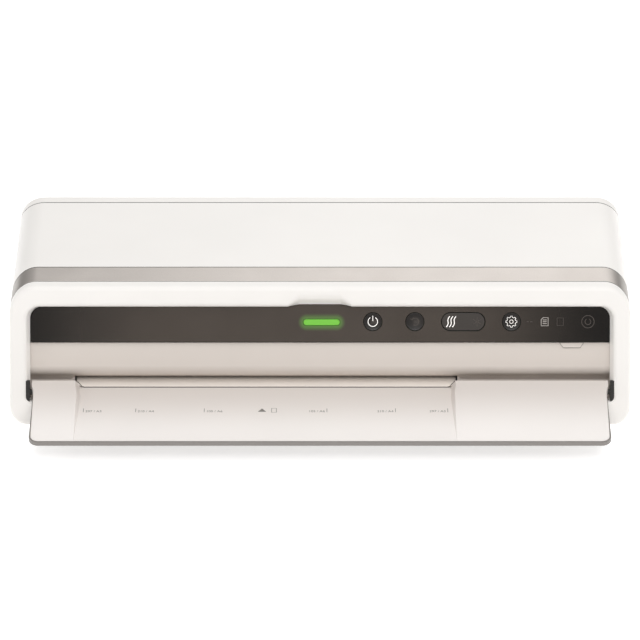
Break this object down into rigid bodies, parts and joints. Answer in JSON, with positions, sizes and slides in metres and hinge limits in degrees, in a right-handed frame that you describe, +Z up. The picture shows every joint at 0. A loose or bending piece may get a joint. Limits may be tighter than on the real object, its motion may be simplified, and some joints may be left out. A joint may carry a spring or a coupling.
{
  "type": "pouch laminator",
  "caption": "Desktop A3 pouch laminator: leaning front frame, black key panel, entry slot, fold-down entry tray and exit tray, geared roller pairs inside.",
  "frame": {"origin": "middle of the bounding box on the plane of the feet, with the entry tray open", "axes": "+X to the right seen from the front, -Y towards the person feeding pouches, +Z up"},
  "size_m": [0.519, 0.2796, 0.1074],
  "materials": {
    "white_shell": "fine satin",
    "silver_band": "satin champagne",
    "beige_fascia": "satin",
    "grey_edge": "satin",
    "black_panel": "gloss",
    "key_black": "semi gloss",
    "green_light": "lit",
    "dark_plastic": "fine grain",
    "rubber_feet": "matt",
    "steel": "zinc plated",
    "silicone": "matt",
    "heater_aluminium": "mill",
    "acetal": "moulded",
    "circuit_board": "solder mask"
  },
  "bodies": {
    "housing": {"base_pan": "white_shell", "front_bezel": "white_shell", "accent_band": "silver_band", "top_cover": "white_shell", "rear_bezel": "white_shell", "front_fascia": "beige_fascia", "control_panel": "black_panel", "light_bar": "green_light", "fascia_tab": "beige_fascia", "entry_ramp": "beige_fascia", "entry_guide_upper": "beige_fascia", "rear_fascia": "beige_fascia", "exit_guide": "beige_fascia", "tray_bush_left": "dark_plastic", "tray_bush_right": "dark_plastic", "control_board": "circuit_board", "main_board": "circuit_board", "power_inlet": "dark_plastic", "drive_motor": "steel", "motor_bracket": "steel", "idler_pin": "steel", "left_side_plate": "steel", "right_side_plate": "steel", "hot_bearing_left": "acetal", "hot_bearing_right": "acetal", "exit_bearing_left": "acetal", "exit_bearing_right": "acetal", "pressure_spring_left": "steel", "pressure_spring_right": "steel", "heater_plate_lower": "heater_aluminium", "heater_plate_upper": "heater_aluminium", "heat_shield": "heater_aluminium", "thermal_cutout": "dark_plastic", "front_tie_rod": "steel", "rear_tie_rod": "steel", "front_left_foot": "rubber_feet", "front_right_foot": "rubber_feet", "rear_left_foot": "rubber_feet", "rear_right_foot": "rubber_feet"},
    "entry_tray": {"front_tray": "white_shell", "front_tray_skin": "grey_edge"},
    "exit_tray": {"rear_tray": "white_shell"},
    "power_key": {"power_key": "key_black"},
    "reverse_key": {"reverse_key": "key_black"},
    "settings_key": {"settings_key": "key_black"},
    "temperature_key": {"temperature_key": "key_black"},
    "motor_pinion": {"motor_pinion": "steel"},
    "idler_gear": {"idler_gear": "acetal"},
    "hot_roller_upper": {"hot_roller_upper_core": "steel", "hot_roller_upper_sleeve": "silicone", "hot_roller_upper_gear": "acetal"},
    "hot_roller_lower": {"hot_roller_lower_core": "steel", "hot_roller_lower_sleeve": "silicone", "hot_roller_lower_gear": "acetal"},
    "exit_roller_upper": {"exit_roller_upper_core": "steel", "exit_roller_upper_sleeve": "silicone", "exit_roller_upper_gear": "acetal"},
    "exit_roller_lower": {"exit_roller_lower_core": "steel", "exit_roller_lower_sleeve": "silicone", "exit_roller_lower_gear": "acetal"}
  },
  "joints": [
    {"name": "entry_tray_hinge", "type": "hinge", "parent": "housing", "child": "entry_tray", "pos_m": [0, -0.06877, 0.02749], "axis": [-1, 0, 0], "range_deg": [0, 121.5]},
    {"name": "exit_tray_hinge", "type": "hinge", "parent": "housing", "child": "exit_tray", "pos_m": [0, 0.13327, 0.02976], "axis": [-1, 0, 0], "range_deg": [0, 90]},
    {"name": "power_key_press", "type": "slide", "parent": "housing", "child": "power_key", "axis": [0, 0.891, -0.454], "range_m": [0, 0.0007], "stiffness_N_per_m": 400, "springref_m": -0.0005},
    {"name": "reverse_key_press", "type": "slide", "parent": "housing", "child": "reverse_key", "axis": [0, 0.891, -0.454], "range_m": [0, 0.0007], "stiffness_N_per_m": 400, "springref_m": -0.0005},
    {"name": "settings_key_press", "type": "slide", "parent": "housing", "child": "settings_key", "axis": [0, 0.891, -0.454], "range_m": [0, 0.0007], "stiffness_N_per_m": 400, "springref_m": -0.0005},
    {"name": "temperature_key_rock", "type": "hinge", "parent": "housing", "child": "temperature_key", "pos_m": [0.1199, -0.03664, 0.07678], "axis": [0, 0.454, 0.891], "range_deg": [-2.4, 2.4], "stiffness_Nm_per_rad": 0.1},
    {"name": "motor_spin", "type": "hinge", "parent": "housing", "child": "motor_pinion", "pos_m": [0, 0.02278, 0.0715], "axis": [1, 0, 0], "continuous": true},
    {"name": "idler_spin", "type": "hinge", "parent": "housing", "child": "idler_gear", "pos_m": [0, 0.02278, 0.0445], "axis": [1, 0, 0], "continuous": true},
    {"name": "hot_upper_spin", "type": "hinge", "parent": "housing", "child": "hot_roller_upper", "pos_m": [0, -0.00722, 0.0445], "axis": [1, 0, 0], "continuous": true},
    {"name": "hot_lower_spin", "type": "hinge", "parent": "housing", "child": "hot_roller_lower", "pos_m": [0, -0.00722, 0.0205], "axis": [1, 0, 0], "continuous": true},
    {"name": "exit_upper_spin", "type": "hinge", "parent": "housing", "child": "exit_roller_upper", "pos_m": [0, 0.05278, 0.0445], "axis": [1, 0, 0], "continuous": true},
    {"name": "exit_lower_spin", "type": "hinge", "parent": "housing", "child": "exit_roller_lower", "pos_m": [0, 0.05278, 0.0205], "axis": [1, 0, 0], "continuous": true}
  ],
  "couplings": [
    {"joint": "idler_spin", "follows": "motor_spin", "ratio": -0.5},
    {"joint": "hot_upper_spin", "follows": "motor_spin", "ratio": 0.75},
    {"joint": "hot_lower_spin", "follows": "motor_spin", "ratio": -0.75},
    {"joint": "exit_upper_spin", "follows": "motor_spin", "ratio": 0.75},
    {"joint": "exit_lower_spin", "follows": "motor_spin", "ratio": -0.75}
  ]
}
